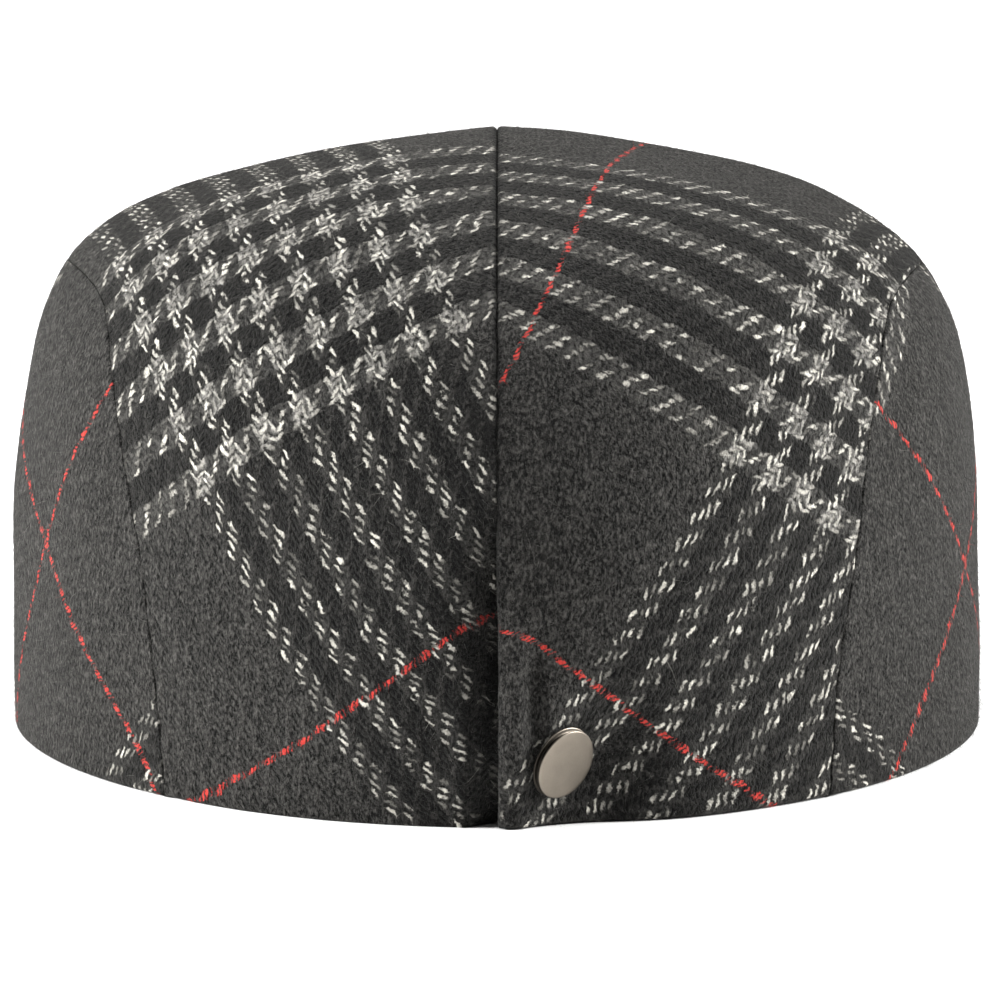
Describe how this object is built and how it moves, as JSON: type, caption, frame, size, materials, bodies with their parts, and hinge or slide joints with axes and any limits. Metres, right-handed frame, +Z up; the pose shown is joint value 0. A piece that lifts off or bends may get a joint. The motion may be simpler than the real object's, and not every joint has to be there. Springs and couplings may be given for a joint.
{
  "type": "flat cap",
  "caption": "Flat cap with a low arched peak, a domed two-part crown with a centre seam, side panels, and a back vent closed by a press snap.",
  "frame": {"origin": "middle of the cap's length and width, on the plane of the rim that it rests on", "axes": "+Z up, -Y towards the peak, +Y towards the back, +X towards the wearer's left"},
  "size_m": [0.1778, 0.2622, 0.1114],
  "materials": {
    "plaid_wool": "brushed charcoal wool with a white and red glen plaid, matt and slightly fuzzy",
    "snap_metal": "warm grey satin metal"
  },
  "bodies": {
    "root": {"top_panel_left": "plaid_wool", "top_panel_right": "plaid_wool", "side_panel_left": "plaid_wool", "side_panel_right": "plaid_wool", "peak": "plaid_wool", "snap": "snap_metal"}
  },
  "joints": []
}
